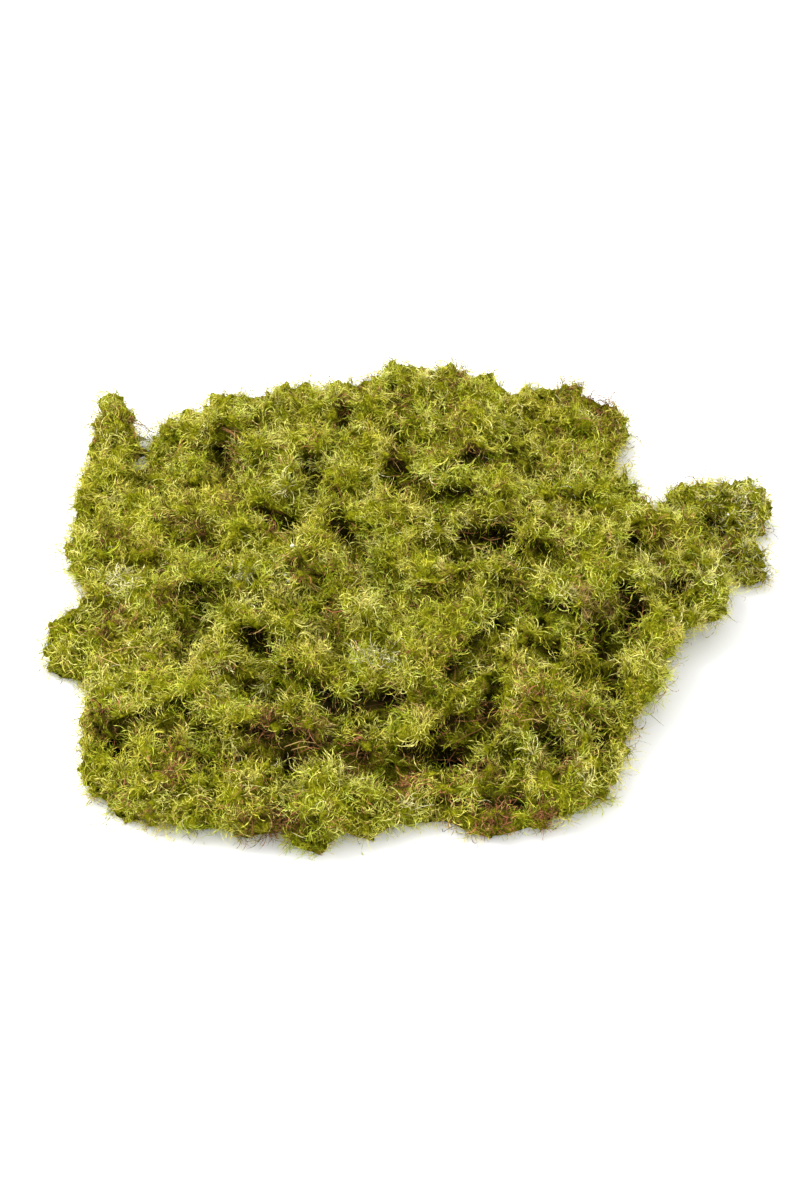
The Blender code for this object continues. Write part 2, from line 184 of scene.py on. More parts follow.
# Loose stems that bridge a gap or stand off the rim: two pixels, how many, how far out they arch
LOOPS = [
    ((127, 420), (149, 430), 6, 1.5), ((124, 434), (147, 442), 6, 1.5), ((120, 452), (142, 458), 5, 1.0),
    ((222, 430), (240, 436), 6, 1.0), ((222, 445), (240, 452), 6, 1.0), ((228, 458), (242, 466), 5, 1.0),
    ((388, 397), (412, 399), 5, 1.5), ((390, 405), (415, 405), 5, 1.5), ((594, 399), (612, 403), 4, 2.0),
    ((600, 411), (620, 410), 4, 2.0), ((640, 505), (653, 508), 3, 6.0), ((636, 502), (646, 510), 2, 4.5),
    ((660, 684), (658, 700), 3, 4.0), ((655, 655), (662, 668), 2, 3.5), ((196, 790), (204, 806), 2, 3.0),
    ((745, 500), (752, 512), 3, 3.0), ((680, 478), (700, 476), 3, 3.0), ((380, 368), (392, 366), 4, 3.0),
    ((455, 375), (470, 378), 4, 3.0), ((565, 388), (585, 390), 4, 3.0), ((445, 818), (455, 822), 3, 3.0),
]

# Places where the rim stands out or draws back: pixel, radius, distance
SWELLS = [((706, 624), 6.0, -4.5), ((734, 600), 5.0, -2.0), ((748, 536), 4.0, -3.0), ((716, 608), 3.5, 1.5),
          ((338, 414), 4.5, 2.5)]

# White grains caught in the leaves: pixel, width
GRAINS = [
    ((293, 546), 1.6), ((285, 576), 1.3), ((289, 580), 1.5), ((673, 618), 0.9), ((728, 515), 0.9),
]

# Creases and pits, pressed into the relief and darkened with painted shade: a path of pixels, half the
# width, how deep and dark
HOLLOWS = [
    (((222, 432), (242, 440)), 2.5, 0.6), (((225, 458), (238, 492)), 3.0, 0.7),
    (((258, 514), (290, 527)), 3.0, 1.0), (((302, 464), (312, 488)), 2.0, 0.45),
    (((326, 491), (337, 504)), 2.5, 0.8), (((335, 525), (368, 563)), 3.0, 1.15),
    (((396, 428), (404, 450)), 2.0, 0.5),
    (((395, 465), (420, 497)), 3.0, 1.0), (((425, 500), (465, 492)), 3.0, 1.0),
    (((455, 452), (490, 462)), 3.0, 1.15), (((505, 440), (522, 458)), 2.5, 0.8),
    (((530, 440), (537, 462)), 2.0, 0.8), (((470, 535), (512, 542)), 5.0, 1.25),
    (((535, 545), (550, 552)), 2.0, 0.9), (((570, 492), (586, 498)), 3.0, 0.8),
    (((630, 540), (637, 544)), 3.0, 1.0), (((290, 560), (320, 572)), 2.5, 0.7),
    (((325, 598), (345, 622)), 2.5, 0.7), (((420, 588), (440, 598)), 2.0, 0.7),
    (((460, 570), (468, 577)), 2.0, 0.7), (((517, 580), (528, 598)), 2.5, 0.8),
    (((540, 605), (580, 618), (625, 630)), 2.8, 1.2), (((628, 585), (640, 638)), 3.0, 1.2),
    (((508, 612), (480, 640), (455, 675)), 3.0, 1.15), (((525, 640), (555, 652)), 2.5, 0.9),
    (((605, 645), (618, 700)), 3.5, 0.8), (((580, 662), (590, 668)), 1.8, 0.8),
    (((487, 682), (490, 708)), 2.2, 0.9), (((313, 685), (340, 712), (395, 697)), 2.8, 1.2),
    (((350, 684), (364, 700)), 2.5, 1.0), (((277, 672), (308, 684)), 2.5, 0.9),
    (((247, 634), (288, 662)), 2.2, 0.75), (((186, 588), (214, 598)), 2.5, 0.9),
    (((202, 607), (213, 618)), 2.0, 0.8), (((182, 627), (198, 638)), 2.0, 0.7),
    (((445, 735), (470, 722)), 3.5, 1.2), (((400, 752), (475, 760)), 3.5, 1.2),
    (((287, 738), (328, 748)), 3.0, 1.0), (((342, 748), (368, 762)), 3.0, 1.0),
    (((248, 728), (278, 748)), 3.0, 0.9), (((285, 752), (292, 778)), 2.0, 0.8),
    (((115, 728), (180, 702)), 2.0, 0.9), (((196, 722), (214, 738)), 2.0, 0.8),
    (((206, 757), (224, 766)), 2.0, 0.8), (((102, 738), (123, 758)), 2.5, 0.8),
    (((542, 730), (558, 758)), 2.5, 0.9), (((512, 748), (518, 788)), 2.0, 0.8),
    (((592, 718), (603, 748)), 3.0, 0.9), (((440, 802), (520, 802)), 2.0, 0.9),
    (((492, 788), (514, 798)), 3.0, 0.9), (((662, 578), (698, 598)), 3.0, 0.5),
    (((708, 512), (728, 558)), 3.0, 0.5),
]
STROKE_STEP = 6            # pixels between the places that a path is felt from


def smooth_step(x):
    x = np.clip(x, 0.0, 1.0)
    return x * x * (3 - 2 * x)


def unit(v):
    return v / np.maximum(np.linalg.norm(v, axis=-1, keepdims=True), 1e-9)


def linear(colour):
    """A colour of 0 to 255 as Blender's linear RGBA."""
    return tuple(((c / 255 + 0.055) / 1.055) ** 2.4 if c > 10 else c / 255 / 12.92 for c in colour) + (1.0,)


def along_surface(ways, normals):
    """Directions laid flat on the surface."""
    return unit(ways - normals * (ways * normals).sum(1, keepdims=True))


def keep_above(points, height):
    """Lifts the points that are lower than the height up to it."""
    points[:, 2] = np.maximum(points[:, 2], height)


class WaveField:
    """A smooth random field over space, mostly within -1.5 and 1.5."""

    def __init__(self, wavelength, waves=12):
        sizes = wavelength * rng.uniform(0.7, 1.5, waves)
        self.waves = (unit(rng.normal(size=(waves, 3))) * (2 * math.pi / sizes)[:, None]).T
        self.phases = rng.uniform(0, 2 * math.pi, waves)

    def at(self, points):
        return np.sin(points @ self.waves + self.phases).sum(1) / math.sqrt(len(self.phases) / 2)


def ripples(points, wavelength):
    return WaveField(wavelength).at(points) * 0.7


# The surface of the clump
class Surface:
    """A mesh as arrays: points, triangles, normals, and values kept for each point."""

    REACH = 11.0

    def __init__(self, points, triangles, values=None):
        self.points, self.triangles = points, triangles
        self.values = values or {}
        corners = points[triangles]
        cross = np.cross(corners[:, 1] - corners[:, 0], corners[:, 2] - corners[:, 0])
        self.areas = np.linalg.norm(cross, axis=1) / 2
        self.flats = unit(cross)
        normals = np.zeros_like(points)
        for k in range(3):
            np.add.at(normals, triangles[:, k], cross)
        self.normals = unit(normals)
        self.tree = BVHTree.FromPolygons(points.tolist(), triangles.tolist())

    def hollows(self):
        """How far a point lies inwards of its neighbours' middle, in millimetres: above 0 in a crease."""
        tree = kdtree.KDTree(len(self.points))
        for i, p in enumerate(self.points):
            tree.insert(p, i)
        tree.balance()
        result = np.zeros(len(self.points))
        for i, p in enumerate(self.points):
            near = [
                j for _, j, _ in tree.find_range(p, self.REACH) if self.normals[j] @ self.normals[i] > -0.2
            ]
            result[i] = (self.points[near].mean(0) - p) @ self.normals[i]
        return result

    def scatter(self, count):
        """Random points on the surface that isn't on the floor, with their triangle and corner shares."""
        chance = self.areas * np.where(self.flats[:, 2] < -0.92, 0.0, 1.0)
        chosen = rng.choice(len(chance), count, p=chance / chance.sum())
        a, b = rng.random((2, count))
        over = a + b > 1
        a[over], b[over] = 1 - a[over], 1 - b[over]
        shares = np.stack([1 - a - b, a, b], axis=1)
        return chosen, shares

    def divided(self, parts):
        """Each triangle cut into parts x parts: points, their places on this surface, new triangles."""
        grid = [(i, j) for i in range(parts + 1) for j in range(parts + 1 - i)]
        number = {place: k for k, place in enumerate(grid)}
        cells = [(number[i, j], number[i + 1, j], number[i, j + 1]) for i, j in grid if i + j < parts]
        cells += [
            (number[i + 1, j], number[i + 1, j + 1], number[i, j + 1]) for i, j in grid if i + j < parts - 1
        ]
        shares = np.array([(parts - i - j, i, j) for i, j in grid]) / parts
        count = len(self.triangles)
        chosen = np.repeat(np.arange(count), len(grid))
        shares = np.tile(shares, (count, 1))
        triangles = (np.arange(count)[:, None, None] * len(grid) + np.array(cells)).reshape(-1, 3)
        points = self.at(self.points, chosen, shares)
        _, first, inverse = np.unique(np.round(points, 3), axis=0, return_index=True, return_inverse=True)
        chosen, shares = chosen[first], shares[first]
        return points[first], chosen, shares, inverse.reshape(-1)[triangles]

    def at(self, values, chosen, shares):
        """A value of the corners, mixed for points inside the triangles."""
        mixed = values[self.triangles[chosen]]
        return (mixed * (shares[..., None] if mixed.ndim == 3 else shares)).sum(1)


def read_surface(mesh):
    """The CAD mesh with one vertex for each place, so that normals run smoothly over the whole surface."""
    points = np.empty(len(mesh.vertices) * 3)
    mesh.vertices.foreach_get("co", points)
    points = points.reshape(-1, 3) / MM
    mesh.calc_loop_triangles()
    triangles = np.empty(len(mesh.loop_triangles) * 3, dtype=np.int32)
    mesh.loop_triangles.foreach_get("vertices", triangles)
    _, first, inverse = np.unique(np.round(points, 4), axis=0, return_index=True, return_inverse=True)
    triangles = inverse.reshape(-1)[triangles.reshape(-1, 3)]
    whole = (np.diff(np.sort(triangles, axis=1), axis=1) > 0).all(1)
    surface = Surface(points[first], triangles[whole])
    surface.values["hollow"] = surface.hollows()
    return surface


def spaced(points, spacing):
    """Which of the points to keep so that no two are closer than spacing."""
    cells = {}
    keep = []
    for i, p in enumerate(points.tolist()):
        home = tuple(int(c // spacing) for c in p)
        near = (
            other
            for x in (-1, 0, 1) for y in (-1, 0, 1) for z in (-1, 0, 1)
            for other in cells.get((home[0] + x, home[1] + y, home[2] + z), ())
        )
        if all(sum((a - b) ** 2 for a, b in zip(p, other)) > spacing * spacing for other in near):
            cells.setdefault(home, []).append(p)
            keep.append(i)
    return np.array(keep)


# The camera and places seen through it
def camera_axes():
    right = np.array([1.0, 0.0, 0.0])
    up = np.array([0.0, math.sin(CAMERA_HEIGHT), math.cos(CAMERA_HEIGHT)])
    ahead = np.array([0.0, math.cos(CAMERA_HEIGHT), -math.sin(CAMERA_HEIGHT)])
    return right, up, ahead


def camera_place():
    return np.array(CAMERA_TARGET) - camera_axes()[2] * CAMERA_DISTANCE


def on_surface(surface, pixel):
    """The point of the clump that the photograph shows at or next to a pixel, and its normal."""
    right, up, ahead = camera_axes()
    scale = CAMERA_SENSOR / CAMERA_LENS / max(PHOTO)
    for off in range(0, 40, 2):
        for turn in np.linspace(0, 2 * math.pi, 1 if off == 0 else 12, endpoint=False):
            across = (pixel[0] + off * math.cos(turn) - PHOTO[0] / 2) * scale
            rise = (PHOTO[1] / 2 - pixel[1] - off * math.sin(turn)) * scale
            ray = Vector(ahead + right * across + up * rise).normalized()
            point, normal, _, _ = surface.tree.ray_cast(Vector(camera_place()), ray)
            if point is not None:
                return np.array(point), np.array(normal)
    raise ValueError(f"the clump isn't near pixel {pixel}")


def along(path):
    """Pixels spread evenly along a path."""
    for start, end in zip(path, path[1:]):
        steps = max(1, round(math.dist(start, end) / STROKE_STEP))
        for k in range(steps + 1):
            yield tuple(a + (b - a) * k / steps for a, b in zip(start, end))


def near_places(surface, points, places):
    """For each place, how near the points are to it: 1 at its middle, 0 from its radius on."""
    for pixel, radius, *rest in places:
        distance = np.linalg.norm(points - on_surface(surface, pixel)[0], axis=1)
        yield smooth_step((1.35 - distance / radius) / 0.7), rest


# Meshes
def mesh_object(name, points, triangles, uv, material, smooth=False):
    """A piece from arrays in millimetres, riding on the clump's one body."""
    mesh = bpy.data.meshes.new(name)
    mesh.vertices.add(len(points))
    mesh.vertices.foreach_set("co", (points * MM).ravel())
    mesh.loops.add(len(triangles) * 3)
    mesh.loops.foreach_set("vertex_index", triangles.ravel().astype(np.int32))
    mesh.polygons.add(len(triangles))
    mesh.polygons.foreach_set("loop_start", np.arange(0, len(triangles) * 3, 3, dtype=np.int32))
    mesh.polygons.foreach_set("use_smooth", np.full(len(triangles), smooth))
    if uv is not None:
        layer = mesh.uv_layers.new(name="OFBake")
        layer.data.foreach_set("uv", uv[triangles].ravel())
    mesh.update(calc_edges=True)
    mesh.materials.append(material)
    piece = bpy.data.objects.new(name, mesh)
    bpy.context.scene.collection.objects.link(piece)
    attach(piece, "root")
    return piece


def taper(t):
    """The share of its width that a strip has at t of its length."""
    if t < 0.6:
        return 0.55 + 0.45 * math.sin(min(t * 2.2, 1.0) * math.pi / 2)
    return 1.0 - 0.8 * (t - 0.6) / 0.4


def strips(roots, axes, heading, length, width, lean, bend, curl, tone, triangles=LEAF_TRIANGLES):
    """Tapered curved strips as points, triangles and UVs.

    Each strip starts at its root, leans away from the axis towards the heading, bends over by bend and turns
    round the axis by curl. U is its tone and V runs from 0 at the foot to 1 at the tip.
    """
    count, rows = len(roots), triangles + 2
    heights = np.linspace(0, 1, rows)
    axes, heading = unit(axes), unit(heading - axes * (heading * axes).sum(1, keepdims=True))
    across = np.cross(axes, heading)
    points = np.empty((count, rows, 3))
    place = roots.copy()
    twist = rng.uniform(-0.9, 0.9, count)
    for k, t in enumerate(heights):
        polar = (lean + bend * t)[:, None]
        round_axis = (curl * t)[:, None]
        out = heading * np.cos(round_axis) + across * np.sin(round_axis)
        side = across * np.cos(round_axis) - heading * np.sin(round_axis)
        way = axes * np.cos(polar) + out * np.sin(polar)
        face = np.cross(way, side)
        turned = side * np.cos(twist)[:, None] + face * np.sin(twist)[:, None]
        points[:, k] = place + turned * (width / 2 * taper(t) * (-1) ** k)[:, None]
        place = place + way * (length / (rows - 1))[:, None]
    first = np.arange(count)[:, None] * rows
    faces = np.concatenate(
        [first + ([k, k + 1, k + 2] if k % 2 == 0 else [k + 1, k, k + 2]) for k in range(triangles)], axis=1
    ).reshape(-1, 3)
    uv = np.empty((count, rows, 2))
    uv[..., 0] = tone[:, None] + 0.004 * (-1.0) ** np.arange(rows)
    uv[..., 1] = heights * 0.98 + 0.01
    return points.reshape(-1, 3), faces, uv.reshape(-1, 2)


# Materials
def ramp(nodes, stops):
    node = nodes.new("ShaderNodeValToRGB")
    elements = node.color_ramp.elements
    while len(elements) < len(stops):
        elements.new(0.5)
    for element, (at, colour) in zip(elements, stops):
        element.position = at
        element.color = colour
    return node


def leaf_material():
    """Colour by tone along U and by height along V, darker at the foot, partly of its own and partly as
    painted shade; the tips are matt and faintly silky.
    """
    material = bpy.data.materials.new("moss_leaf")
    material.use_nodes = True
    nodes, links = material.node_tree.nodes, material.node_tree.links
    shader = nodes["Principled BSDF"]
    shader.inputs["Roughness"].default_value = 0.8
    shader.inputs["Specular IOR Level"].default_value = 0.03
    place = nodes.new("ShaderNodeUVMap")
    place.uv_map = "OFBake"
    parts = nodes.new("ShaderNodeSeparateXYZ")
    links.new(place.outputs["UV"], parts.inputs["Vector"])
    foot = ramp(nodes, [(at, linear(low)) for at, low, _ in PALETTE])
    tip = ramp(nodes, [(at, linear(high)) for at, _, high in PALETTE])
    links.new(parts.outputs["X"], foot.inputs["Fac"])
    links.new(parts.outputs["X"], tip.inputs["Fac"])
    height = nodes.new("ShaderNodeMapRange")
    height.interpolation_type = "SMOOTHSTEP"
    height.inputs["From Min"].default_value = 0.05
    height.inputs["From Max"].default_value = 0.7
    links.new(parts.outputs["Y"], height.inputs["Value"])
    # foot to tip: the darker foot is partly the leaf's own colour and partly painted shade
    mix = nodes.new("ShaderNodeMix")
    mix.data_type = "RGBA"
    links.new(height.outputs["Result"], mix.inputs["Factor"])
    links.new(foot.outputs["Color"], mix.inputs[6])
    links.new(tip.outputs["Color"], mix.inputs[7])
    links.new(mix.outputs[2], shader.inputs["Base Color"])
    return material


def bed_material():
    """Felted dead moss: dark olive and brown, in patches and fine fibres, turning from live olive to the
    dark dead ramp in creases, gaps and pits, partly its own dead colour and partly painted shade.
    """
    material = bpy.data.materials.new("moss_bed")
    material.use_nodes = True
    nodes, links = material.node_tree.nodes, material.node_tree.links
    shader = nodes["Principled BSDF"]
    shader.inputs["Roughness"].default_value = 0.9
    shader.inputs["Specular IOR Level"].default_value = 0.05
    place = nodes.new("ShaderNodeTexCoord")
    patches = nodes.new("ShaderNodeTexNoise")
    patches.inputs["Scale"].default_value = 160.0
    patches.inputs["Detail"].default_value = 6.0
    links.new(place.outputs["Object"], patches.inputs["Vector"])
    fine = nodes.new("ShaderNodeTexNoise")
    fine.inputs["Scale"].default_value = 800.0
    fine.inputs["Detail"].default_value = 4.0
    fine.inputs["Distortion"].default_value = 1.5
    links.new(place.outputs["Object"], fine.inputs["Vector"])
    dead = ramp(nodes, [(0.3, linear((12, 10, 2))), (0.5, linear((36, 32, 6))), (0.7, linear((64, 52, 18)))])
    live = ramp(
        nodes, [(0.3, linear((52, 58, 0))), (0.5, linear((116, 118, 4))), (0.7, linear((168, 160, 40)))]
    )
    # painted shade: the attribute mixes in the dark dead ramp in creases, gaps and pits, partly the felt's
    # own dead colour
    shade_depth = nodes.new("ShaderNodeAttribute")
    shade_depth.attribute_name = "shade_depth"
    mix = nodes.new("ShaderNodeMix")
    mix.data_type = "RGBA"
    links.new(patches.outputs["Fac"], dead.inputs["Fac"])
    links.new(fine.outputs["Fac"], live.inputs["Fac"])
    links.new(shade_depth.outputs["Fac"], mix.inputs["Factor"])
    links.new(live.outputs["Color"], mix.inputs[6])
    links.new(dead.outputs["Color"], mix.inputs[7])
    links.new(mix.outputs[2], shader.inputs["Base Color"])
    bump = nodes.new("ShaderNodeBump")
    bump.inputs["Strength"].default_value = 0.6
    bump.inputs["Distance"].default_value = 0.001
    links.new(fine.outputs["Fac"], bump.inputs["Height"])
    links.new(bump.outputs["Normal"], shader.inputs["Normal"])
    return material


# Clumps
class Clumps:
    """Small domes that the leaves grow in. At a point: how far it is from a gap, and the way out."""

    def __init__(self, surface):
        chosen, shares = surface.scatter(CLUMP_TRIES)
        points = surface.at(surface.points, chosen, shares)
        height = -surface.at(surface.values["hollow"], chosen, shares) + rng.normal(0, 0.4, len(points))
        points = points[np.argsort(-height)]
        self.middles = points[spaced(points, CLUMP_SPACING)]
        self.middles = self.middles[rng.random(len(self.middles)) < CLUMP_SHARE]
        self.warp = [WaveField(9) for _ in range(3)]
        self.tree = kdtree.KDTree(len(self.middles))
        for i, p in enumerate(self.middles):
            self.tree.insert(p, i)
        self.tree.balance()
        self.tones = rng.normal(size=len(self.middles))
        self.waves = WaveField(22)

    def at(self, points):
        inside = np.empty(len(points))
        outward = np.empty((len(points), 3))
        tones = np.empty(len(points))
        bent = points + np.stack([wave.at(points) for wave in self.warp], axis=1) * CLUMP_WARP
        for i, p in enumerate(bent):
            (_, near, d1), (_, _, d2) = self.tree.find_n(p, 2)
            inside[i] = d2 - d1
            outward[i] = p - self.middles[near]
            tones[i] = self.tones[near]
        width = GAP_WIDTH * np.clip(0.85 + 0.45 * self.waves.at(points), 0.2, 1.5)
        return {
            "inside": smooth_step(inside / width), "dome": smooth_step(inside / 6.0),
            "outward": outward, "clump_tone": tones,
        }


def darkness(points, normals, hollow, inside, dome):
    """How dark and bare the moss is, the dark being painted shade of creases, gaps, pits and the domes'
    lower flanks: 0 on a lump, 1 at the bottom of a pit; and the pits by themselves.
    """
    pit = np.zeros(len(points))
    for path, radius, shade_depth in HOLLOWS:
        places = [(pixel, radius) for pixel in along(path)]
        for nearness, _ in near_places(surface, points, places):
            pit = np.maximum(pit, nearness * shade_depth)
    # the fold lines are pressed in as pits and darkened with painted shade, more on slopes turned away from
    # the camera
    behind = smooth_step((normals[:, 1] + 0.1) / 0.5)
    folds = smooth_step(1 - abs(WaveField(30).at(points)) / 0.11)
    folds = folds * smooth_step(WaveField(24).at(points) + 0.6)
    pit = np.maximum(pit, folds * (0.25 + 0.65 * behind))
    # painted shade: darker in the surface's creases, in the pits, in the gaps between the domes and down the
    # domes' flanks
    crease = smooth_step((hollow - 0.6) / 2.2)
    return np.clip(0.3 * crease + 0.8 * pit + 0.56 * (1 - inside) + 0.14 * (1 - dome), 0, 1), pit


def make_relief(surface, clumps):
    """What the leaves grow on: the clump's own surface, with small domes, gaps and pits pressed into it."""
    points, chosen, shares, triangles = surface.divided(RELIEF_PARTS)
    normals = unit(surface.at(surface.normals, chosen, shares))
    values = clumps.at(points)
    hollow = surface.at(surface.values["hollow"], chosen, shares)
    values["dark"], values["pit"] = darkness(points, normals, hollow, values["inside"], values["dome"])
    dark = values["dark"]
    # painted shade: leaves lose light in the dark places; the ripples and clump tones are the moss's own
    # uneven tone
    brighter = 0.05 * ripples(points, 45) + 0.13 * ripples(points, 11) + 0.08 * values["clump_tone"]
    values["light"] = LIGHT + brighter - LIGHT_LOST_IN_PAINTED_SHADE * dark
    greener = 0.30 * ripples(points, 9) + 0.22 * ripples(points, 28)
    # painted shade: the dark places also lean to deep green
    values["green"] = GREEN_SHARE + greener + GREEN_ADDED_IN_PAINTED_SHADE * dark
    specks = smooth_step((WaveField(6).at(points) - 1.15) / 0.6)
    # the dead share grows a little in the dark places, partly the moss's own dead leaves and partly painted
    # shade; the specks are its own brown spots
    values["dead"] = DEAD_SHARE + DEAD_ADDED_IN_DARK * dark + 0.6 * specks
    values["flow"] = np.stack([WaveField(FLOW_WAVELENGTH).at(points) for _ in range(3)], axis=1)
    height = DOME_HEIGHT * (values["dome"] - 0.5) - GAP_DEPTH * (1 - values["inside"])
    height = height - PIT_DEPTH * values["pit"]
    height = height + 0.5 * ripples(points, 5) + 0.4 * ripples(points, 2.5)
    for nearness, (distance,) in near_places(surface, points, SWELLS):
        height = height + distance * nearness
    points = points + normals * (height * above_floor(normals))[:, None]
    keep_above(points, BED_HEIGHT)
    return Surface(points, triangles, values)


def above_floor(normals):
    """1 on the top and sides, down to 0 on the underside."""
    return 1 - smooth_step((-normals[:, 2] - 0.5) / 0.4)


def make_bed(relief):
    """The felt under the leaves."""
    points = relief.points - relief.normals * (BED_DEPTH * above_floor(relief.normals))[:, None]
    keep_above(points, BED_HEIGHT)
    bed = mesh_object("moss_bed", points, relief.triangles, None, bed_material(), smooth=True)
    # the painted shade of creases, gaps and pits, kept on the bed to darken its colour there
    shade_depth = bed.data.attributes.new("shade_depth", "FLOAT", "POINT")
    shade_depth.data.foreach_set("value", relief.values["dark"])
    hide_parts("moss_mat")
    return bed


def scattered(relief, count, spacing=0):
    """Random points on the relief with their normals and values, no two closer than the spacing."""
    chosen, shares = relief.scatter(count)
    if spacing:
        keep = spaced(relief.at(relief.points, chosen, shares), spacing)
        chosen, shares = chosen[keep], shares[keep]
    normals = unit(relief.at(relief.normals, chosen, shares))
    values = {name: relief.at(value, chosen, shares) for name, value in relief.values.items()}
    return relief.at(relief.points, chosen, shares), normals, values


def make_stems(surface, relief, material):
    """Dead brown stems: matted in the pits and creases, and loose over the rest and along the torn edge."""
    points, normals, values = scattered(relief, STEM_TRIES)
    dark, pit = values["dark"], values["pit"]
    brown = np.zeros(len(points))
    for nearness, (tone, share) in near_places(surface, points, PATCHES):
        if tone <= STRAW:
            brown = np.maximum(brown, nearness * share)
    edge = smooth_step((0.35 - normals[:, 2]) / 0.4)
    patchy = smooth_step(WaveField(16).at(points) - 0.35)
    # more dark stems in the pits and dark places: partly the moss's own dead stems, partly painted shade
    chance = 0.04 + 0.6 * np.maximum(0.7 * pit, brown) + 0.06 * dark + 0.15 * edge + 0.10 * patchy
    keep = np.flatnonzero(rng.random(len(points)) < chance * STEM_SHARE)
    count = len(keep)
    roots = points[keep] - normals[keep] * rng.uniform(-0.2, 1.0, count)[:, None]
    tone = rng.choice((DARK_STEM, BROWN, RED, STRAW), count, p=(0.42, 0.36, 0.07, 0.15))
    tone = tone + rng.normal(0, 0.025, count)
    points, faces, uv = strips(
        roots, unit(normals[keep] + rng.normal(0, 0.25, (count, 3))), rng.normal(size=(count, 3)),
        rng.uniform(*STEM_LENGTH, count) * (1 - 0.4 * edge[keep]), rng.uniform(*STEM_WIDTH, count),
        lean=rng.uniform(0.9, 1.4, count), bend=rng.uniform(-0.3, 0.5, count),
        curl=rng.normal(0, 2.6, count), tone=np.clip(tone, 0.01, 0.4), triangles=STEM_TRIANGLES,
    )
    keep_above(points, LEAF_HEIGHT)
    return mesh_object("moss_stems", points, faces, uv, material)


def strand(path, width, tone, rows=16):
    """One zigzag strip through a path: points, faces and UVs."""
    place = np.linspace(0, len(path) - 1, rows)
    way = np.stack([np.interp(place, np.arange(len(path)), path[:, k]) for k in range(3)], axis=1)
    way[1:-1] = (way[:-2] + 2 * way[1:-1] + way[2:]) / 4
    side = unit(np.cross(np.gradient(way, axis=0), (0.0, -0.6, 0.8)))
    flip = (-1.0) ** np.arange(rows)
    points = way + side * (width / 2 * flip * np.linspace(1, 0.5, rows))[:, None]
    faces = np.array([(k, k + 1, k + 2) if k % 2 == 0 else (k + 1, k, k + 2) for k in range(rows - 2)])
    uv = np.stack([tone + 0.004 * flip, np.linspace(0.3, 0.99, rows)], axis=1)
    return points, faces, uv


def make_twigs(surface, material):
    """The stems that can be told apart, and the loose ones that bridge a gap or loop off the rim."""
    parts = []
    for tone, path in TWIGS:
        spots = [on_surface(surface, pixel) for pixel in path]
        middle = np.array([point + normal * 1.0 for point, normal in spots])
        parts.append(strand(middle + rng.normal(0, 0.3, middle.shape), 0.3, tone))
    for start, end, count, arch in LOOPS:
        (a, outward), (b, other) = on_surface(surface, start), on_surface(surface, end)
        outward = unit(outward + other + (0.0, 0.0, 0.3))
        for _ in range(count):
            t = np.linspace(0, 1, 14)[:, None]
            ends = rng.normal(0, 1.2, (2, 3))
            bow = outward * arch * rng.uniform(0.3, 1.2) * np.sin(math.pi * t)
            wiggle = sum(rng.normal(0, 0.7 / k, 3) * np.sin(math.pi * k * t) for k in (2, 3, 4))
            path = (a + ends[0]) * (1 - t) + (b + ends[1]) * t + bow + wiggle
            parts.append(strand(path, rng.uniform(0.18, 0.3), rng.choice((DARK_STEM, BROWN))))
    starts = np.cumsum([0] + [len(points) for points, _, _ in parts])
    points = np.concatenate([points for points, _, _ in parts])
    keep_above(points, LEAF_HEIGHT)
    faces = np.concatenate([faces + start for (_, faces, _), start in zip(parts, starts)])
    return mesh_object("moss_twigs", points, faces, np.concatenate([uv for _, _, uv in parts]), material)


def leaf_tones(surface, points, normals, values, tuft):
    """Where each leaf of a tuft lies on the palette."""
    total = len(tuft)
    # painted shade: leaves on the steep sides and the underside are darker
    rim = smooth_step((0.45 - normals[:, 2]) / 0.5)
    light = np.clip((values["light"] - 0.10 * rim)[tuft] + rng.normal(0, 0.10, total), 0, 1.2)
    tone = np.minimum(DEEP_OLIVE + (BRIGHT - DEEP_OLIVE) * light, DUSTY)
    green = rng.random(total) < values["green"][tuft]
    tone = np.where(green, DEEP_GREEN + (PALE_GREEN - DEEP_GREEN) * np.minimum(light, 1), tone)
    stray = rng.random(total)
    tone = np.where(stray < values["dead"][tuft], rng.uniform(DARK_STEM, STRAW - 0.03, total), tone)
    tone = np.where(stray > 0.985, STRAW, tone)
    for nearness, (patch_tone, share) in near_places(surface, points, PATCHES):
        taken = rng.random(total) < share * nearness[tuft]
        dim = (rng.random(total) < DIM_SHARE) & (patch_tone <= RED)
        tone = np.where(taken, np.where(dim, DARK_STEM, patch_tone) + rng.normal(0, 0.02, total), tone)
    return np.clip(tone, 0.01, 0.99)


def make_strands(surface, relief, material):
    """Long strands, live and dry, that lie loose along the lumps, and loop outwards at the rim."""
    points, normals, values = scattered(relief, STRANDS)
    flow = along_surface(values["flow"], normals)
    side = np.cross(normals, flow)
    spread = rng.normal(0, 0.8, STRANDS)[:, None]
    tone = leaf_tones(surface, points, normals, values, np.arange(STRANDS))
    tone = np.where(rng.random(STRANDS) < 0.1, rng.choice((STRAW, BRIGHT, DUSTY), STRANDS), tone)
    loop = (normals[:, 2] < 0.4) & (rng.random(STRANDS) < 0.6)
    tone = np.where(loop, rng.choice((BROWN, DEEP_OLIVE + 0.05, OLIVE), STRANDS), tone)
    points, faces, uv = strips(
        points + normals * rng.uniform(-0.6, 0.7, STRANDS)[:, None], normals,
        flow * np.cos(spread) + side * np.sin(spread),
        rng.uniform(*STRAND_LENGTH, STRANDS) * (0.5 + 0.5 * values["dome"]),
        rng.uniform(*STRAND_WIDTH, STRANDS),
        lean=np.where(loop, rng.uniform(0.1, 0.7, STRANDS), rng.uniform(0.9, 1.2, STRANDS)),
        bend=np.where(loop, rng.uniform(1.4, 2.6, STRANDS), rng.uniform(0.4, 0.9, STRANDS)),
        curl=rng.choice((-1, 1), STRANDS) * rng.uniform(0.6, 3.0, STRANDS),
        tone=tone, triangles=STRAND_TRIANGLES,
    )
    keep_above(points, LEAF_HEIGHT)
    return mesh_object("moss_strands", points, faces, uv, material)


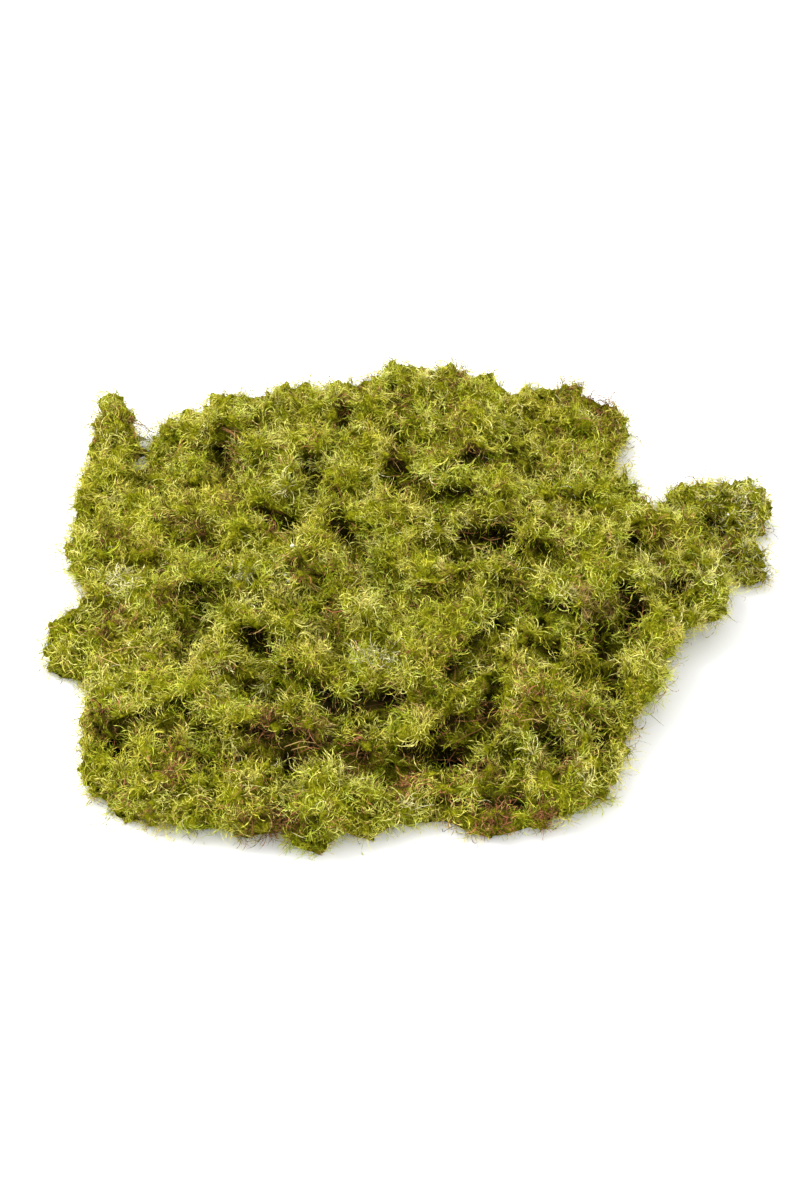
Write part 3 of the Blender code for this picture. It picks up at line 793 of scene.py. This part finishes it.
def make_grains(surface):
    """Small pale grains, a little lumpy, half sunk in the leaves."""
    material = bpy.data.materials.new("grain")
    material.use_nodes = True
    nodes, links = material.node_tree.nodes, material.node_tree.links
    shader = nodes["Principled BSDF"]
    shader.inputs["Roughness"].default_value = 0.55
    place = nodes.new("ShaderNodeTexCoord")
    noise = nodes.new("ShaderNodeTexNoise")
    noise.inputs["Scale"].default_value = 1500.0
    links.new(place.outputs["Object"], noise.inputs["Vector"])
    colours = ramp(nodes, [(0.35, linear((206, 200, 180))), (0.6, linear((240, 238, 226)))])
    links.new(noise.outputs["Fac"], colours.inputs["Fac"])
    links.new(colours.outputs["Color"], shader.inputs["Base Color"])
    points, triangles = [], []
    work = bmesh.new()
    bmesh.ops.create_icosphere(work, subdivisions=3, radius=0.5)
    ball = np.array([v.co for v in work.verts])
    work.verts.index_update()
    faces = np.array([[v.index for v in f.verts] for f in work.faces])
    work.free()
    for pixel, width in GRAINS:
        point, normal = on_surface(surface, pixel)
        lumpy = ball * (1 + 0.16 * ripples(ball, 0.9))[:, None] * rng.uniform(0.8, 1.1, 3) * width
        triangles.append(faces + len(points) * len(ball))
        points.append(lumpy + point + normal * 0.4)
    points, triangles = np.concatenate(points), np.concatenate(triangles)
    return mesh_object("moss_grains", points, triangles, None, material, smooth=True)


def make_leaves(surface, relief, material):
    """The live leaves in tufts, some lying along the lumps and some standing, in pieces side by side."""
    points, normals, values = scattered(relief, TUFT_TRIES, TUFT_SPACING)
    flow = along_surface(values["flow"], normals)
    side = np.cross(normals, flow)
    outward = along_surface(values["outward"], normals)
    axes = unit(normals + 0.2 * flow + 0.15 * outward + rng.normal(0, 0.16, flow.shape))

    count = len(points)
    sparse = (1 - 0.35 * values["dark"]) * (1 - 0.6 * values["pit"])
    per = np.maximum(rng.normal(LEAVES_PER_TUFT, 2, count) * sparse, 2).astype(int)
    tuft = np.repeat(np.arange(count), per)
    total = len(tuft)
    lying = rng.random(total) < LYING_SHARE
    spread = rng.normal(0, 0.4, count)[tuft] + rng.normal(0, 1, total) * np.where(lying, LOCK_SPREAD, 2.0)
    heading = flow[tuft] * np.cos(spread)[:, None] + side[tuft] * np.sin(spread)[:, None]
    apart = along_surface(rng.normal(size=(total, 3)), normals[tuft]) * rng.uniform(0, 0.8, total)[:, None]
    roots = points[tuft] - normals[tuft] * ROOT_DEPTH + apart
    shortened = (1 - 0.3 * values["dark"]) * (0.45 + 0.55 * values["dome"])
    size = rng.uniform(*LEAF_LENGTH, total) * shortened[tuft]
    leaf_tone = leaf_tones(surface, points, normals, values, tuft)

    points, faces, uv = strips(
        roots, axes[tuft], heading, size, rng.uniform(*LEAF_WIDTH, total),
        lean=np.where(lying, rng.uniform(0.7, 1.2, total), rng.uniform(0.2, 0.9, total)),
        bend=np.where(lying, rng.uniform(0.1, 0.7, total), rng.uniform(0.5, 1.3, total)),
        curl=rng.choice((-1, 1), total) * rng.uniform(0.3, 2.8, total), tone=leaf_tone,
    )
    keep_above(points, LEAF_HEIGHT)
    order = np.argsort(roots[:, 0], kind="stable")
    pieces = max(1, math.ceil(len(faces) / PIECE_TRIANGLES))
    rows = LEAF_TRIANGLES + 2
    for k, part in enumerate(np.array_split(order, pieces)):
        vertices = (part[:, None] * rows + np.arange(rows)).ravel()
        local = np.arange(len(part))[:, None, None] * rows
        strip = faces[:LEAF_TRIANGLES][None]
        triangles = (local + strip).reshape(-1, 3)
        mesh_object(f"moss_leaves_{k + 1}", points[vertices], triangles, uv[vertices], material)


def floor_material():
    material = bpy.data.materials.new("floor")
    material.use_nodes = True
    shader = material.node_tree.nodes["Principled BSDF"]
    shader.inputs["Base Color"].default_value = (0.92, 0.92, 0.93, 1)
    shader.inputs["Roughness"].default_value = 0.9
    return material


def make_stage():
    bpy.ops.mesh.primitive_plane_add(size=FLOOR_SIZE, location=(0, 0, 0))
    floor = bpy.context.object
    floor.name = "floor"
    floor.data.materials.append(floor_material())
    world = bpy.data.worlds.new("studio")
    bpy.context.scene.world = world
    world.use_nodes = True
    world.node_tree.nodes["Background"].inputs["Color"].default_value = (1, 1, 1, 1)
    world.node_tree.nodes["Background"].inputs["Strength"].default_value = WORLD_STRENGTH
    key = bpy.data.lights.new("key", "AREA")
    key.shape = "DISK"
    key.size = KEY_SIZE
    key.energy = KEY_POWER
    lamp = bpy.data.objects.new("key", key)
    lamp.location = KEY_PLACE
    lamp.rotation_euler = (-Vector(lamp.location)).to_track_quat("-Z", "Y").to_euler()
    bpy.context.scene.collection.objects.link(lamp)


def make_camera():
    data = bpy.data.cameras.new("camera")
    data.lens = CAMERA_LENS
    data.sensor_width = CAMERA_SENSOR
    data.sensor_fit = "AUTO"
    camera = bpy.data.objects.new("camera", data)
    camera.location = Vector(camera_place()) * MM
    camera.rotation_euler = (math.pi / 2 - CAMERA_HEIGHT, 0, 0)
    bpy.context.scene.collection.objects.link(camera)
    bpy.context.scene.camera = camera


surface = read_surface(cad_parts["moss_mat"].data)
relief = make_relief(surface, Clumps(surface))
make_bed(relief)
leaf = leaf_material()
make_leaves(surface, relief, leaf)
make_stems(surface, relief, leaf)
make_twigs(surface, leaf)
make_strands(surface, relief, leaf)
make_grains(surface)
make_stage()
make_camera()
bpy.context.scene.view_settings.view_transform = "Standard"
